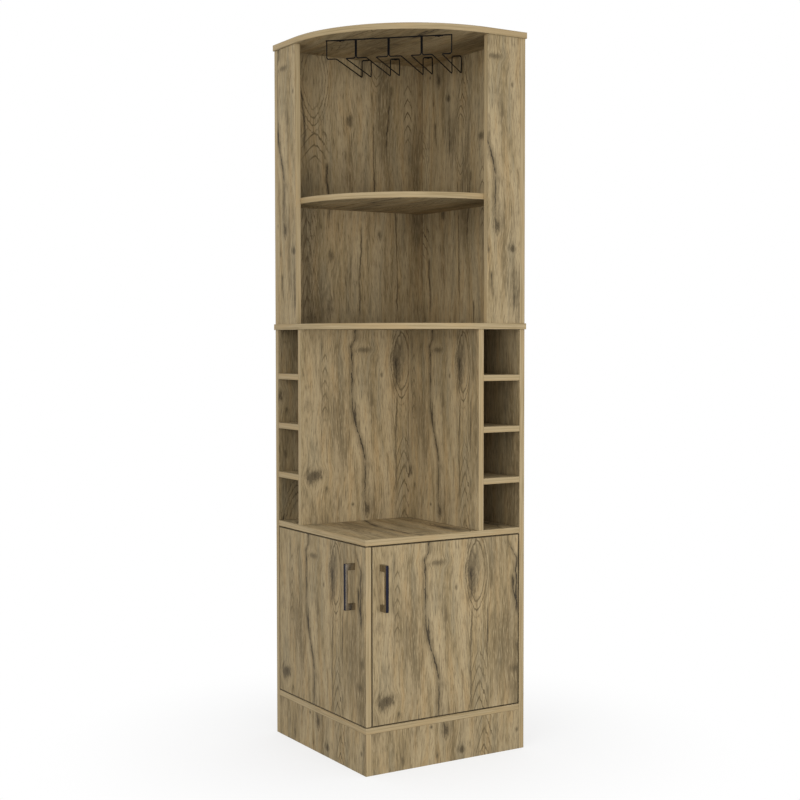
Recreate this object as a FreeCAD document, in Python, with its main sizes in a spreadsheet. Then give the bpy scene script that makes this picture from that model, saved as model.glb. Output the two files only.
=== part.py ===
import FreeCAD, Part
import math
import os

import Sketcher

# Corner drinks cabinet of laminated board: a two-door base, a bottle rack with a niche,
# and an open upper case with a bowed shelf, a bowed top and a wire rack for stemware.
# +X is the right-hand wall and +Y the left-hand wall of the room's corner. The left door
# faces -X and the right door faces -Y. The origin is on the floor under the middle of the
# cabinet's box. Lengths are millimetres.
SIZES = {
    # boards and storeys
    "overall_height": 1800,
    "body_width": 464,
    "board_thickness": 15,
    "top_overhang": 3,
    "plinth_height": 100,
    "counter_height": 564,
    "mid_shelf_height": 1077,
    "upper_shelf_height": 1397,
    "stile_width": 100,
    "cubby_width": 110,
    # doors and their gaps
    "door_gap": 2.5,
    "hinge_gap": 3,
    # bar handles
    "handle_length": 112,
    "handle_reach": 28,
    "handle_bar": 8,
    "handle_leg": 16,
    "handle_drop": 43,
    "handle_chamfer": 0.8,
    "left_handle_inset": 53,
    "right_handle_inset": 43,
    # concealed hinges
    "hinge_end": 72,
    "pivot_depth": 7.5,
    "pivot_edge": 10,
    "pin_diameter": 3,
    "pin_length": 20,
    "pin_clearance": 0.05,
    "cup_diameter": 35,
    "cup_depth": 12,
    "cup_edge": 4,
    "cup_clearance": 0.1,
    "cup_mouth": 28,
    "flange_thickness": 1.2,
    "flange_length": 56,
    "flange_width": 18,
    "flange_offset": 5,
    "arm_width": 10,
    "arm_thickness": 1.5,
    "arm_crank": 12,
    "arm_clearance": 0.7,
    "arm_length": 62,
    "plate_thickness": 4,
    "plate_start": 27,
    "plate_height": 14,
    "wing_thickness": 2,
    "wing_start": 31,
    "wing_width": 12,
    "wing_height": 48,
    # wire rack for stemware
    "wire_diameter": 3,
    "inner_lane_width": 84,
    "outer_lane_width": 77,
    "inner_lane_shift": 2.5,
    "rail_spacing": 25,
    "rack_drop": 45,
    "rack_setback": 90,
    "rack_panel_gap": 4.5,
    "tab_length": 20,
    "tab_width": 12,
    "tab_thickness": 1.5,
    "tab_spacing": 252,
    # pan-head screws through the rack's tabs
    "screw_diameter": 3.5,
    "screw_bite": 9,
    "screw_head_diameter": 7,
    "screw_head_height": 2,
    "screw_clearance": 0.2,
}
CUBBY_SHELVES = 3
HALF_ROOT = math.sqrt(0.5)
SIDES = ("left", "right")
Y_AXIS = FreeCAD.Vector(0, 1, 0)
Z_AXIS = FreeCAD.Vector(0, 0, 1)


class Length:
    """A length that carries its value and the expression that ties it to the sheet."""

    def __init__(self, value, text):
        self.value = value
        self.text = text

    def __add__(self, other):
        other = as_length(other)
        return Length(self.value + other.value, f"({self.text} + {other.text})")

    def __sub__(self, other):
        other = as_length(other)
        return Length(self.value - other.value, f"({self.text} - {other.text})")

    def __mul__(self, factor):
        return Length(self.value * factor, f"({self.text} * {factor!r})")

    def __truediv__(self, divisor):
        return Length(self.value / divisor, f"({self.text} / {divisor!r})")

    def __neg__(self):
        return Length(-self.value, f"(0 - {self.text})")


def as_length(number):
    """A plain number as a Length, and a Length as it is."""
    if isinstance(number, Length):
        return number
    return Length(float(number), repr(float(number)))


def diagonal(across, along):
    """The hypotenuse of two lengths."""
    return Length(math.hypot(across.value, along.value), f"sqrt({across.text} ^ 2 + {along.text} ^ 2)")


doc = FreeCAD.newDocument("DrinksCabinet")
sheet = doc.addObject("Spreadsheet::Sheet", "Sizes")
for row, (name, value) in enumerate(SIZES.items(), start=1):
    sheet.set(f"A{row}", str(value))
    sheet.setAlias(f"A{row}", name)
doc.recompute()


def size(name):
    """A driving dimension, read from the sheet."""
    return Length(float(sheet.get(name)), f"Sizes.{name}")


# Plan and storeys, worked out from the driving dimensions
ZERO = as_length(0)
board_thickness = size("board_thickness")
plan_middle = (size("handle_reach") - size("top_overhang")) / 2
wall = plan_middle + size("body_width") / 2
front = plan_middle - size("body_width") / 2
wall_in = wall - board_thickness
front_in = front + board_thickness
top_wall = wall + size("top_overhang")
top_front = front - size("top_overhang")
divider_face = wall_in - size("cubby_width")
divider_back = divider_face - board_thickness
bow_start = wall_in - size("stile_width")

plinth_height = size("plinth_height")
base_top = plinth_height + board_thickness
counter_height = size("counter_height")
counter_under = counter_height - board_thickness
mid_shelf_height = size("mid_shelf_height")
mid_shelf_under = mid_shelf_height - board_thickness
upper_shelf_height = size("upper_shelf_height")
upper_shelf_under = upper_shelf_height - board_thickness
overall_height = size("overall_height")
top_under = overall_height - board_thickness
cubby_height = (mid_shelf_under - counter_height - board_thickness * CUBBY_SHELVES) / (CUBBY_SHELVES + 1)

door_bottom = base_top + size("door_gap")
door_top = counter_under - size("door_gap")
door_hinge_edge = wall_in - size("hinge_gap")

nodes = {}
corners = {}


def keep(label, thing):
    """Record a finished sub-part under the label that names its file."""
    thing.Label = label
    nodes[label] = thing
    return thing


def place(thing, point, rotation=FreeCAD.Rotation()):
    """Turn a sub-part and tie its base point to expressions."""
    values = FreeCAD.Vector(*[length.value for length in point])
    thing.Placement = FreeCAD.Placement(values, rotation)
    for axis, length in zip("xyz", point):
        thing.setExpression(f"Placement.Base.{axis}", length.text)


def tie(sketch, shape, vertex, across, along):
    """Tie one point of a sketch to its two coordinates."""
    for kind, length in (("DistanceX", across), ("DistanceY", along)):
        number = sketch.addConstraint(Sketcher.Constraint(kind, -1, 1, shape, vertex, length.value))
        sketch.setExpression(f"Constraints[{number}]", length.text)


def new_sketch(body, plane, offset=ZERO):
    """A sketch on one of the body's own origin planes, moved along the plane's normal."""
    sketch = body.newObject("Sketcher::SketchObject", "Sketch")
    support = [feature for feature in body.Origin.OriginFeatures if feature.Role == plane][0]
    sketch.AttachmentSupport = [(support, "")]
    sketch.MapMode = "FlatFace"
    sketch.AttachmentOffset.Base.z = offset.value
    sketch.setExpression("AttachmentOffset.Base.z", offset.text)
    return sketch


def polygon(sketch, points):
    """Straight lines through the points, closed, with every corner tied."""
    vectors = [FreeCAD.Vector(across.value, along.value, 0) for across, along in points]
    count = len(points)
    for index in range(count):
        sketch.addGeometry(Part.LineSegment(vectors[index], vectors[(index + 1) % count]))
    for index in range(count):
        sketch.addConstraint(Sketcher.Constraint("Coincident", index, 2, (index + 1) % count, 1))
    for index, (across, along) in enumerate(points):
        tie(sketch, index, 1, across, along)


def rectangle(sketch, low, high):
    """A rectangle between two corners."""
    polygon(sketch, [low, (high[0], low[1]), high, (low[0], high[1])])


def circles(sketch, centres, diameter):
    """Equal circles round the given centres."""
    for index, (across, along) in enumerate(centres):
        middle = FreeCAD.Vector(across.value, along.value, 0)
        sketch.addGeometry(Part.Circle(middle, Z_AXIS, diameter.value / 2))
        tie(sketch, index, 3, across, along)
        number = sketch.addConstraint(Sketcher.Constraint("Diameter", index, diameter.value))
        sketch.setExpression(f"Constraints[{number}]", diameter.text)


def extrude(body, kind, sketch, length, backwards=False, both_ways=False):
    """A Pad or Pocket of a sketch by a tied length."""
    feature = body.newObject(f"PartDesign::{kind}", kind)
    feature.Profile = sketch
    feature.Reversed = backwards
    feature.SideType = "Symmetric" if both_ways else "One side"
    feature.setExpression("Length", length.text)
    sketch.Visibility = False
    return feature


def new_body(label, point, rotation=FreeCAD.Rotation()):
    """An empty body at its place."""
    body = keep(label, doc.addObject("PartDesign::Body", label))
    place(body, point, rotation)
    corners[label] = point
    return body


def board(label, low, high):
    """A rectangular board between two corners."""
    body = new_body(label, low)
    sketch = new_sketch(body, "XY_Plane")
    rectangle(sketch, (ZERO, ZERO), (high[0] - low[0], high[1] - low[1]))
    extrude(body, "Pad", sketch, high[2] - low[2])
    return body


def bowed_board(label, near, far, bottom):
    """A square board whose front corner is bowed from stile to stile."""
    body = new_body(label, (near, near, bottom))
    sketch = new_sketch(body, "XY_Plane")
    radius = bow_start - near
    width = far - near
    points = [(ZERO, radius), (ZERO, width), (width, width), (width, ZERO), (radius, ZERO)]
    vectors = [FreeCAD.Vector(across.value, along.value, 0) for across, along in points]
    for start, end in zip(vectors, vectors[1:]):
        sketch.addGeometry(Part.LineSegment(start, end))
    middle = FreeCAD.Vector(radius.value, radius.value, 0)
    bow = Part.ArcOfCircle(Part.Circle(middle, Z_AXIS, radius.value), math.pi, 1.5 * math.pi)
    arc = sketch.addGeometry(bow)
    for index in range(arc - 1):
        sketch.addConstraint(Sketcher.Constraint("Coincident", index, 2, index + 1, 1))
    sketch.addConstraint(Sketcher.Constraint("Coincident", arc, 1, 0, 1))
    sketch.addConstraint(Sketcher.Constraint("Coincident", arc, 2, arc - 1, 2))
    for index, (across, along) in enumerate(points[:-1]):
        tie(sketch, index, 1, across, along)
    tie(sketch, arc - 1, 2, radius, ZERO)
    number = sketch.addConstraint(Sketcher.Constraint("Radius", arc, radius.value))
    sketch.setExpression(f"Constraints[{number}]", radius.text)
    extrude(body, "Pad", sketch, board_thickness)
    return body


def drill(label, face, level, centres, diameter, depth):
    """Round holes into one face of a board.

    face is the outward axis of the face, such as +X, and level its coordinate."""
    axis = "XYZ".index(face[1])
    plane = ("YZ_Plane", "XZ_Plane", "XY_Plane")[axis]
    normal = "-" if axis == 1 else "+"
    offset = level - corners[label][axis]
    if normal == "-":
        offset = -offset
    others = [other for other in range(3) if other != axis]
    local = [tuple(point[i] - corners[label][other] for i, other in enumerate(others)) for point in centres]
    sketch = new_sketch(nodes[label], plane, offset)
    circles(sketch, local, diameter)
    extrude(nodes[label], "Pocket", sketch, depth, backwards=face[0] != normal)


# Base: two wall-side panels, plinth, bottom board and counter
board("right_side_panel", (wall_in, front, ZERO), (wall, wall, mid_shelf_under))
board("left_side_panel", (front, wall_in, ZERO), (wall_in, wall, mid_shelf_under))
board("left_plinth_board", (front, front, ZERO), (front_in, wall_in, plinth_height))
board("right_plinth_board", (front_in, front, ZERO), (wall_in, front_in, plinth_height))
board("bottom_board", (front, front, plinth_height), (wall_in, wall_in, base_top))
board("counter_board", (front, front, counter_under), (wall_in, wall_in, counter_height))

# Bottle rack: two dividers and two stacks of cubby shelves round the niche
board("left_rack_divider", (front, divider_back, counter_height), (wall_in, divider_face, mid_shelf_under))
right_divider_end = (divider_face, divider_back, mid_shelf_under)
board("right_rack_divider", (divider_back, front, counter_height), right_divider_end)
for number in range(1, CUBBY_SHELVES + 1):
    bottom = counter_height + cubby_height * number + board_thickness * (number - 1)
    top = bottom + board_thickness
    board(f"left_cubby_shelf_{number}", (front, divider_face, bottom), (wall_in, wall_in, top))
    board(f"right_cubby_shelf_{number}", (divider_face, front, bottom), (wall_in, divider_back, top))

# Upper case: bowed boards, panels and the stiles beside the opening
bowed_board("mid_shelf", top_front, top_wall, mid_shelf_under)
board("right_upper_panel", (wall_in, front, mid_shelf_height), (wall, wall, top_under))
board("left_upper_panel", (front, wall_in, mid_shelf_height), (wall_in, wall, top_under))
board("left_stile", (front, bow_start, mid_shelf_height), (front_in, wall_in, top_under))
board("right_stile", (bow_start, front, mid_shelf_height), (wall_in, front_in, top_under))
bowed_board("upper_shelf", front_in, wall_in, upper_shelf_under)
bowed_board("top_panel", top_front, top_wall, top_under)

# Inset doors: the left one reaches the front corner and the right one closes beside it
board("left_door", (front, front, door_bottom), (front_in, door_hinge_edge, door_top))
right_door_edge = front_in + size("door_gap")
board("right_door", (right_door_edge, front, door_bottom), (door_hinge_edge, front_in, door_top))


# Concealed hinges, drawn once in the hinge's own axes: along the door from the panel's inner
# face, in from the front, and up. Both doors use the same drawing, turned.
hinge_turns = {
    "left": FreeCAD.Rotation(Z_AXIS, -90),
    "right": FreeCAD.Rotation(Y_AXIS, 180),
}
hinge_levels = {
    "lower": door_bottom + size("hinge_end"),
    "upper": door_top - size("hinge_end"),
}
pivot_along = size("hinge_gap") + size("pivot_edge")
pivot_in = size("pivot_depth")
pin_bore = size("pin_diameter") + size("pin_clearance") * 2
arm_thickness = size("arm_thickness")
eye_radius = pin_bore / 2 + arm_thickness
cup_along = size("hinge_gap") + size("cup_edge") + size("cup_diameter") / 2
cup_floor = board_thickness - size("cup_depth")
flange_top = board_thickness + size("flange_thickness")
flange_low = cup_along - size("flange_width") / 2 + size("flange_offset")
flange_high = flange_low + size("flange_width")
arm_cross = pivot_in + diagonal(size("pivot_edge"), board_thickness - pivot_in) + size("arm_clearance")


def hinge_point(side, along, inward, up):
    """A point of the hinge's drawing in the cabinet's axes, at a height."""
    if side == "left":
        return (front + inward, wall_in - along, up)
    return (wall_in - along, front + inward, up)


def hinge_body(label, side, level):
    """An empty body in a hinge's own axes."""
    return new_body(label, hinge_point(side, ZERO, ZERO, level), hinge_turns[side])


def span(middle, width):
    """The two ends of a width about its middle."""
    return middle - width / 2, middle + width / 2


def hinge_cup(label, side, level):
    """The round cup in the door, with its flange, its pocket for the arm and its pin bores."""
    body = hinge_body(label, side, level)
    rim = new_sketch(body, "XZ_Plane", -cup_floor)
    circles(rim, [(cup_along, ZERO)], size("cup_diameter"))
    extrude(body, "Pad", rim, flange_top - cup_floor, backwards=True)
    low, high = span(ZERO, size("flange_length"))
    flange = new_sketch(body, "XZ_Plane", -board_thickness)
    rectangle(flange, (flange_low, low), (flange_high, high))
    extrude(body, "Pad", flange, size("flange_thickness"), backwards=True)
    pocket_edge = pivot_along - eye_radius - size("arm_clearance")
    low, high = span(ZERO, size("arm_width") + size("arm_clearance") * 2)
    pocket = new_sketch(body, "XZ_Plane", -flange_top)
    rectangle(pocket, (pocket_edge, low), (pocket_edge + size("cup_mouth"), high))
    pocket_depth = flange_top - pivot_in + eye_radius + size("arm_clearance") / 2
    extrude(body, "Pocket", pocket, pocket_depth, backwards=True)
    bore = new_sketch(body, "XY_Plane")
    circles(bore, [(pivot_along, pivot_in)], pin_bore)
    extrude(body, "Pocket", bore, size("pin_length") + size("pin_clearance") * 2, both_ways=True)


def hinge_arm(label, side, level):
    """The cranked strap from the pin, out of the cup and round the door's edge to the plate."""
    body = hinge_body(label, side, level)
    crank = pivot_along + size("arm_crank")
    foot = size("plate_thickness")
    half = arm_thickness / 2
    strap = new_sketch(body, "XY_Plane")
    polygon(strap, [
        (pivot_along, pivot_in - half),
        (crank + arm_thickness, pivot_in - half),
        (crank + arm_thickness, arm_cross + arm_thickness),
        (foot + arm_thickness, arm_cross + arm_thickness),
        (foot + arm_thickness, size("arm_length")),
        (foot, size("arm_length")),
        (foot, arm_cross),
        (crank, arm_cross),
        (crank, pivot_in + half),
        (pivot_along, pivot_in + half),
    ])
    extrude(body, "Pad", strap, size("arm_width"), both_ways=True)
    eye = new_sketch(body, "XY_Plane")
    circles(eye, [(pivot_along, pivot_in)], eye_radius * 2)
    extrude(body, "Pad", eye, size("arm_width"), both_ways=True)
    bore = new_sketch(body, "XY_Plane")
    circles(bore, [(pivot_along, pivot_in)], pin_bore)
    extrude(body, "Pocket", bore, size("arm_width") * 2, both_ways=True)


def hinge_plate(label, side, level):
    """The winged plate on the panel that carries the arm."""
    body = hinge_body(label, side, level)
    low, high = span(ZERO, size("plate_height"))
    block = new_sketch(body, "YZ_Plane")
    rectangle(block, (size("plate_start"), low), (size("arm_length"), high))
    extrude(body, "Pad", block, size("plate_thickness"))
    low, high = span(ZERO, size("wing_height"))
    wings = new_sketch(body, "YZ_Plane")
    rectangle(wings, (size("wing_start"), low), (size("wing_start") + size("wing_width"), high))
    extrude(body, "Pad", wings, size("wing_thickness"))


def hinge_pin(label, side, level):
    """The plain pin that the arm turns on."""
    pin = keep(label, doc.addObject("Part::Cylinder", label))
    pin.setExpression("Radius", (size("pin_diameter") / 2).text)
    pin.setExpression("Height", size("pin_length").text)
    place(pin, hinge_point(side, pivot_along, pivot_in, level - size("pin_length") / 2))


door_faces = {"left": "+X", "right": "+Y"}
for side in SIDES:
    cup_places = []
    for height, level in hinge_levels.items():
        hinge_cup(f"{side}_{height}_hinge_cup", side, level)
        hinge_arm(f"{side}_{height}_hinge_arm", side, level)
        hinge_plate(f"{side}_{height}_hinge_plate", side, level)
        hinge_pin(f"{side}_{height}_hinge_pin", side, level)
        cup_places.append((wall_in - cup_along, level))
    cup_hole = size("cup_diameter") + size("cup_clearance") * 2
    cup_hole_depth = size("cup_depth") + size("cup_clearance")
    drill(f"{side}_door", door_faces[side], front_in, cup_places, cup_hole, cup_hole_depth)

# Bar handles, drawn in their own axes: across the bar, out from the door, and up
handle_top = door_top - size("handle_drop")
handle_bottom = handle_top - size("handle_length")
handle_middles = {"left": front + size("left_handle_inset"), "right": front + size("right_handle_inset")}
handle_turns = {"left": FreeCAD.Rotation(Z_AXIS, 90), "right": FreeCAD.Rotation(Z_AXIS, 180)}


def handle(side):
    """A square bar on two legs, with the edges of its outer face chamfered."""
    middle = handle_middles[side]
    base = (front, middle, handle_bottom) if side == "left" else (middle, front, handle_bottom)
    body = new_body(f"{side}_handle", base, handle_turns[side])
    reach = size("handle_reach")
    inner = reach - size("handle_bar")
    leg = size("handle_leg")
    length = size("handle_length")
    profile = new_sketch(body, "YZ_Plane")
    polygon(profile, [
        (ZERO, ZERO), (reach, ZERO), (reach, length), (ZERO, length),
        (ZERO, length - leg), (inner, length - leg), (inner, leg), (ZERO, leg),
    ])
    bar = extrude(body, "Pad", profile, size("handle_bar"), both_ways=True)
    doc.recompute()
    outer_edges = []
    for index, edge in enumerate(bar.Shape.Edges, start=1):
        if all(math.isclose(vertex.Y, reach.value) for vertex in edge.Vertexes):
            outer_edges.append(f"Edge{index}")
    chamfer = body.newObject("PartDesign::Chamfer", "Chamfer")
    chamfer.Base = (bar, outer_edges)
    chamfer.setExpression("Size", size("handle_chamfer").text)


for side in SIDES:
    handle(side)

# Wire rack under the top, on its own axes: across the corner, and in towards it
wire_diameter = size("wire_diameter")
wire_radius = wire_diameter / 2
inner_width = size("inner_lane_width")
inner_middle = inner_width / 2 + size("inner_lane_shift")
outer_middle = inner_width + size("outer_lane_width") / 2
half_rack = inner_width + size("outer_lane_width")
bow_front = (bow_start - plan_middle) / HALF_ROOT - (bow_start - top_front)
bar_depth = bow_front + size("rack_setback")
post_depth = bar_depth + wire_diameter
rack_turn = FreeCAD.Rotation(Z_AXIS, -45)
rear_corner = outer_middle + size("rail_spacing") / 2 + wire_diameter
rear_depth = (wall_in - plan_middle - size("rack_panel_gap")) / HALF_ROOT - rear_corner


def rack_point(across, depth):
    """A point of the rack in the cabinet's plan."""
    return (plan_middle + (across + depth) * HALF_ROOT, plan_middle + (depth - across) * HALF_ROOT)


def bent_wire(points, radius):
    """A round wire along straight runs, mitred at its tight bends."""
    section = Part.makeCircle(radius, points[0], points[1] - points[0])
    return Part.makePolygon(points).makePipeShell([Part.Wire(section)], True, False, 1)


def vector(point):
    """A point's values as a vector."""
    return FreeCAD.Vector(*[length.value for length in point])


def rack_lane(label, left_edge, middle, right_edge):
    """One bent wire: down from the bar, in to a rail, back, up and over, and the same way out."""
    left_rail, right_rail = span(middle, size("rail_spacing"))
    bridge_level = -wire_radius
    rail_level = bridge_level - size("rack_drop")
    halves = []
    for post, rail in ((left_edge + wire_radius, left_rail), (right_edge - wire_radius, right_rail)):
        front_run = [(post, post_depth, ZERO), (post, post_depth, rail_level), (rail, post_depth, rail_level)]
        rear_run = [(rail, rear_depth, rail_level), (rail, rear_depth, bridge_level)]
        halves.append([vector(point) for point in front_run + rear_run])
    lane = keep(label, doc.addObject("Part::Feature", label))
    lane.Shape = bent_wire(halves[0] + halves[1][::-1], wire_radius.value)
    place(lane, (plan_middle, plan_middle, top_under), rack_turn)


def group(label, solids):
    """Separate like solids in one sub-part: a body holds only one, so this is a plain shape."""
    feature = keep(label, doc.addObject("Part::Feature", label))
    feature.Shape = Part.makeCompound(solids)


def rack_tab(across, depth):
    """A drilled tab behind a wire, flat against the top."""
    length = size("tab_length").value
    width = size("tab_width").value
    thickness = size("tab_thickness").value
    hole = (size("screw_diameter") + size("screw_clearance")).value / 2
    plate = Part.makeBox(length, width, thickness, FreeCAD.Vector(-length / 2, 0, -thickness))
    bore = Part.makeCylinder(hole, thickness, FreeCAD.Vector(0, width / 2, -thickness))
    tab = plate.cut(bore)
    tab.Placement = FreeCAD.Placement(vector((*rack_point(across, depth), top_under)), rack_turn)
    return tab


def rack_screw(spot):
    """A pan-head screw: its head stands on the underside of a tab and its shank runs up."""
    shank = size("screw_diameter").value / 2
    head = size("screw_head_diameter").value / 2
    drop = -size("screw_head_height").value
    tip = (size("tab_thickness") + size("screw_bite")).value
    half_profile = [(0, drop), (head, drop), (head, 0), (shank, 0), (shank, tip), (0, tip), (0, drop)]
    outline = Part.makePolygon([FreeCAD.Vector(radius, 0, up) for radius, up in half_profile])
    screw = Part.Face(outline).revolve(FreeCAD.Vector(), Z_AXIS, 360)
    screw.translate(vector((*spot, top_under - size("tab_thickness"))))
    return screw


bar = keep("rack_front_bar", doc.addObject("Part::Cylinder", "rack_front_bar"))
bar.setExpression("Radius", wire_radius.text)
bar.setExpression("Height", (half_rack * 2).text)
bar_end = rack_point(-half_rack, bar_depth)
place(bar, (*bar_end, top_under - wire_radius), FreeCAD.Rotation(Z_AXIS, FreeCAD.Vector(1, -1, 0)))
rack_lane("rack_lane_1", -half_rack, -outer_middle, -inner_width)
rack_lane("rack_lane_2", -inner_width, -inner_middle, ZERO)
rack_lane("rack_lane_3", ZERO, inner_middle, inner_width)
rack_lane("rack_lane_4", inner_width, outer_middle, half_rack)
tab_starts = [(across, bar_depth + wire_radius) for across in span(ZERO, size("tab_spacing"))]
tab_starts += [(across, rear_depth + wire_radius) for across in (-inner_middle, inner_middle)]
group("rack_tabs", [rack_tab(across, depth) for across, depth in tab_starts])
tab_screw_places = [rack_point(across, depth + size("tab_width") / 2) for across, depth in tab_starts]
drill("top_panel", "-Z", top_under, tab_screw_places, size("screw_diameter"), size("screw_bite"))
group("rack_screws", [rack_screw(spot) for spot in tab_screw_places])

# Nothing is written unless every feature is sound
doc.recompute()
for thing in doc.Objects:
    if "Invalid" in thing.State or "Error" in thing.State:
        raise RuntimeError(f"{thing.Label} is {thing.State}")
    if thing.isDerivedFrom("PartDesign::Pocket"):
        if thing.Shape.Volume >= thing.BaseFeature.Shape.Volume - 0.01:
            raise RuntimeError(f"{thing.Label} of {thing.getParentGeoFeatureGroup().Label} cuts nothing")
for label, thing in nodes.items():
    if thing.Shape.isNull() or not thing.Shape.isValid():
        raise RuntimeError(f"{label} has no valid shape")

os.makedirs("parts", exist_ok=True)
for label, thing in nodes.items():
    thing.Shape.exportStep(f"parts/{label}.step")
print(len(nodes), "sub-parts written")
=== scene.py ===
import math
from collections import namedtuple

import bmesh
import bpy
from bpy.props import FloatProperty, FloatVectorProperty, PointerProperty
from mathutils import Euler, Matrix, Vector


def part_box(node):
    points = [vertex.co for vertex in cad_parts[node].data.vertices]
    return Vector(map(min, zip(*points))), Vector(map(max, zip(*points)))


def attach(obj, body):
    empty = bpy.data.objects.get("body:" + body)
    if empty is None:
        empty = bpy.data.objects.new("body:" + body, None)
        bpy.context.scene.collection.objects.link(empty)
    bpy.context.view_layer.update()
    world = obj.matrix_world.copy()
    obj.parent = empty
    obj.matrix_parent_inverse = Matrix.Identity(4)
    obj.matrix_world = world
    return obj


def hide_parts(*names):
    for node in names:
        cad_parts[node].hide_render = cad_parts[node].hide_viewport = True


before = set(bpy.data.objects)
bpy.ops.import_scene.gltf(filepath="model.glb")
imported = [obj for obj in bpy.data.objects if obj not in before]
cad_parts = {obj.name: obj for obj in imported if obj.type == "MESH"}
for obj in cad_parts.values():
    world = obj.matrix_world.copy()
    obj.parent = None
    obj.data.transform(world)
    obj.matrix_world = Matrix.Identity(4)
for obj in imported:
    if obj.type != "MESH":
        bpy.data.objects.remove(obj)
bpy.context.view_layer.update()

bl_info = {
    "name": "Corner Drinks Cabinet",
    "version": (1, 0, 0),
    "blender": (4, 5, 0),
    "location": "View3D > Sidebar > Cabinet",
    "description": "Dresses a corner drinks cabinet in aged-oak laminate, black wire and dark metal",
    "category": "Object",
}

SIDES = ("left", "right")
METAL_NODES = ("handle", "hinge", "rack_front_bar", "rack_lane", "rack_tabs", "rack_screws")
QUARTER_TURN = math.pi / 2
WHITE = (1.0, 1.0, 1.0, 1.0)
OAK_OUTPUTS = ("Color", "Roughness", "Height")

# The printed oak sheet, in metres to the right of its top left corner and, as negative numbers, below it
SHEET_LENGTH = 1.40
Crack = namedtuple("Crack", "across lean bend_top bend_foot low high width")
Knot = namedtuple("Knot", "across along half_width half_length depth")
Eye = namedtuple("Eye", "across along half_width half_length rings")
Peaks = namedtuple("Peaks", "across low high half_width spacing steep")
CRACKS = (
    Crack(0.160, -0.009, -0.015, -0.050, -0.110, 0.020, 0.0034),
    Crack(0.150, 0.039, -0.190, -0.350, -0.480, -0.025, 0.0042),
    Crack(0.158, 0.010, -0.220, -0.290, -0.290, -0.180, 0.0030),
    Crack(0.394, 0.028, -0.005, -0.065, -0.215, -0.006, 0.0034),
    Crack(0.411, 0.014, -0.120, -0.190, -0.220, -0.095, 0.0040),
    Crack(0.288, -0.004, -0.180, -0.240, -0.440, -0.165, 0.0012),
    Crack(0.334, -0.002, -0.180, -0.300, -0.345, -0.170, 0.0010),
    Crack(0.285, 0.002, -0.080, -0.150, -0.165, -0.070, 0.0018),
    Crack(0.245, 0.002, -0.580, -0.640, -0.690, -0.570, 0.0026),
    Crack(0.178, 0.005, -0.580, -0.640, -0.660, -0.575, 0.0024),
    Crack(0.062, 0.018, -0.700, -0.860, -0.940, -0.680, 0.0019),
    Crack(0.345, -0.014, -0.740, -0.880, -0.930, -0.720, 0.0020),
    Crack(0.146, 0.008, -0.980, -1.050, -1.110, -0.940, 0.0024),
    Crack(0.290, 0.003, -0.900, -1.000, -1.080, -0.830, 0.0014),
    Crack(0.252, -0.006, -1.150, -1.250, -1.380, -1.100, 0.0013),
    Crack(0.360, 0.005, -1.100, -1.200, -1.360, -1.060, 0.0012),
)
KNOTS = (
    Knot(0.283, -0.076, 0.018, 0.022, 1.00),
    Knot(0.288, -0.080, 0.022, 0.085, 0.80),
    Knot(0.037, -0.374, 0.034, 0.025, 1.00),
    Knot(0.074, -0.408, 0.005, 0.010, 0.70),
    Knot(0.188, -0.052, 0.030, 0.010, 0.65),
    Knot(0.240, -0.118, 0.005, 0.009, 0.60),
    Knot(0.208, -0.190, 0.006, 0.045, 0.45),
    Knot(0.020, -0.190, 0.014, 0.026, 0.35),
    Knot(0.418, -0.340, 0.020, 0.011, 0.60),
    Knot(0.426, -0.280, 0.010, 0.014, 0.65),
    Knot(0.194, -0.468, 0.014, 0.022, 1.00),
    Knot(0.152, -0.454, 0.006, 0.007, 1.00),
    Knot(0.242, -0.522, 0.014, 0.013, 1.00),
    Knot(0.170, -0.527, 0.006, 0.011, 0.75),
    Knot(0.410, -0.497, 0.007, 0.009, 0.65),
    Knot(0.070, -0.524, 0.006, 0.014, 0.65),
    Knot(0.395, -0.640, 0.020, 0.016, 0.75),
    Knot(0.215, -0.830, 0.016, 0.022, 0.80),
    Knot(0.158, -1.190, 0.013, 0.024, 0.60),
    Knot(0.152, -1.330, 0.016, 0.034, 0.55),
    Knot(0.310, -1.130, 0.010, 0.016, 0.60),
)
EYES = (
    Eye(0.301, -0.082, 0.033, 0.098, 3.0),
    Eye(0.105, -0.730, 0.046, 0.120, 4.0),
    Eye(0.300, -0.640, 0.030, 0.090, 3.0),
)
PEAKS = (
    Peaks(0.070, -0.250, -0.035, 0.008, 0.033, 0.42),
    Peaks(0.309, -0.560, -0.275, 0.026, 0.040, 1.60),
    Peaks(0.110, -0.960, -0.850, 0.040, 0.030, 1.40),
    Peaks(0.400, -0.900, -0.700, 0.012, 0.036, 0.60),
    Peaks(0.086, -1.380, -1.030, 0.032, 0.052, 3.00),
)

# A crack's fray and stain in its own widths, its core as a share, and the lengths over which it fades
CRACK_FRAY = 1.1
CRACK_CORE = 0.10
CRACK_FADES = (0.05, 0.015)
HALO_WIDTHS = (0.6, 3.6)
HALO_STAIN = (0.50, 1.2)
# Shapes of knots, eyes and peaks, with the reach from zero in the middle to one at the rim
KNOT_PARTING = 0.45
KNOT_PATCH = (-0.1, 1.35)
KNOT_HEART = (0.10, 0.95)
KNOT_RINGS = 2.3
KNOT_RING_WIDTH = 0.3
KNOT_RING_SHADES = (0.50, 1.0)
EYE_POWER = 1.6
EYE_RAGGED = 0.16
EYE_LINE_WIDTH = 0.22
EYE_START = (0.3, 0.6)
EYE_END = (1.1, 1.5)
PEAK_POWER = 1.35
PEAK_RAGGED = 0.22
PEAK_WAVER = 0.25
PEAK_LINE_WIDTH = 0.16
PEAK_SIDES = (0.75, 1.25)
PEAK_FADES = (0.04, 0.02)

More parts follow.
